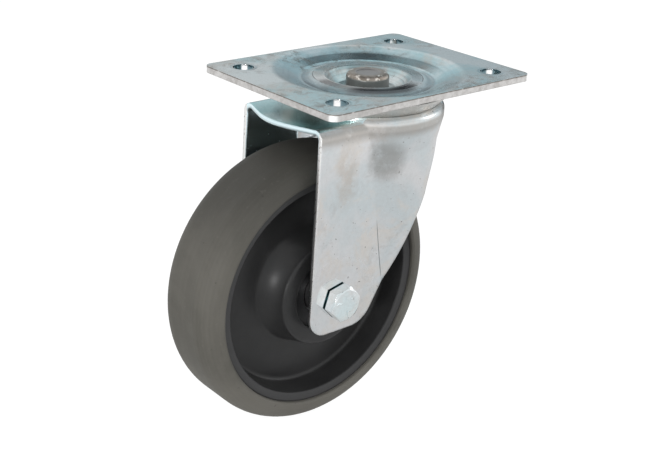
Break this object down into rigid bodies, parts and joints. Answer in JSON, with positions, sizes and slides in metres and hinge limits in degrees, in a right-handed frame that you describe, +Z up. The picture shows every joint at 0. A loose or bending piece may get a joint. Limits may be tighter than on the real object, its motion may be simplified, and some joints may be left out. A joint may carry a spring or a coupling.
{
  "type": "swivel castor",
  "caption": "Swivel castor with a rectangular mounting plate, a pressed steel fork trailing behind the swivel and a rubber-tyred wheel on ball bearings.",
  "frame": {"origin": "centre of the mounting plate's top face, on the swivel axis", "axes": "+Z up along the swivel axis, +X forward, the wheel trails towards -X with its axle along Y"},
  "size_m": [0.1835, 0.105, 0.184],
  "materials": {
    "zinc_plate": "bright zinc, slightly iridescent, with a few smudges",
    "zinc_fork": "bright zinc, satin on the legs",
    "zinc_cup": "bright zinc",
    "zinc_fasteners": "bright zinc",
    "pin_steel": "bronze-brown phosphated steel, worn bright on top",
    "turned_steel": "turned steel",
    "ball_steel": "polished",
    "bearing_steel": "ground",
    "nylon": "natural nylon",
    "black_plastic": "satin black moulding",
    "black_caps": "satin black moulding",
    "grey_rubber": "matt warm grey"
  },
  "bodies": {
    "head": {"top_plate": "zinc_plate", "kingpin": "pin_steel", "kingpin_nut": "zinc_fasteners", "lower_race": "turned_steel"},
    "upper_ball_ring": {"upper_balls": "ball_steel"},
    "lower_ball_ring": {"lower_balls": "ball_steel"},
    "fork_frame": {"fork": "zinc_fork", "swivel_cup": "zinc_cup", "axle_bolt": "zinc_fasteners", "axle_nut": "zinc_fasteners", "nut_insert": "nylon", "nut_washer": "zinc_fasteners", "axle_tube": "turned_steel", "axle_bush_left": "turned_steel", "axle_bush_right": "turned_steel", "bearing_spacer": "turned_steel", "inner_ring_left": "bearing_steel", "inner_ring_right": "bearing_steel"},
    "wheel": {"wheel_core": "black_plastic", "tyre": "grey_rubber", "outer_ring_left": "bearing_steel", "outer_ring_right": "bearing_steel", "dust_cap_left": "black_caps", "dust_cap_right": "black_caps"},
    "balls_left": {"bearing_balls_left": "ball_steel", "ball_cage_left": "nylon"},
    "balls_right": {"bearing_balls_right": "ball_steel", "ball_cage_right": "nylon"}
  },
  "joints": [
    {"name": "swivel", "type": "hinge", "parent": "head", "child": "fork_frame", "pos_m": [0, 0, 0], "axis": [0, 0, 1], "continuous": true},
    {"name": "upper_ball_roll", "type": "hinge", "parent": "head", "child": "upper_ball_ring", "pos_m": [0, 0, 0], "axis": [0, 0, 1], "continuous": true},
    {"name": "lower_ball_roll", "type": "hinge", "parent": "head", "child": "lower_ball_ring", "pos_m": [0, 0, 0], "axis": [0, 0, 1], "continuous": true},
    {"name": "wheel_spin", "type": "hinge", "parent": "fork_frame", "child": "wheel", "pos_m": [-0.041, 0, -0.109], "axis": [0, 1, 0], "continuous": true},
    {"name": "left_ball_roll", "type": "hinge", "parent": "fork_frame", "child": "balls_left", "pos_m": [-0.041, 0, -0.109], "axis": [0, 1, 0], "continuous": true},
    {"name": "right_ball_roll", "type": "hinge", "parent": "fork_frame", "child": "balls_right", "pos_m": [-0.041, 0, -0.109], "axis": [0, 1, 0], "continuous": true}
  ],
  "couplings": [
    {"joint": "upper_ball_roll", "follows": "swivel", "ratio": 0.5},
    {"joint": "lower_ball_roll", "follows": "swivel", "ratio": 0.5},
    {"joint": "left_ball_roll", "follows": "wheel_spin", "ratio": 0.6175},
    {"joint": "right_ball_roll", "follows": "wheel_spin", "ratio": 0.6175}
  ]
}
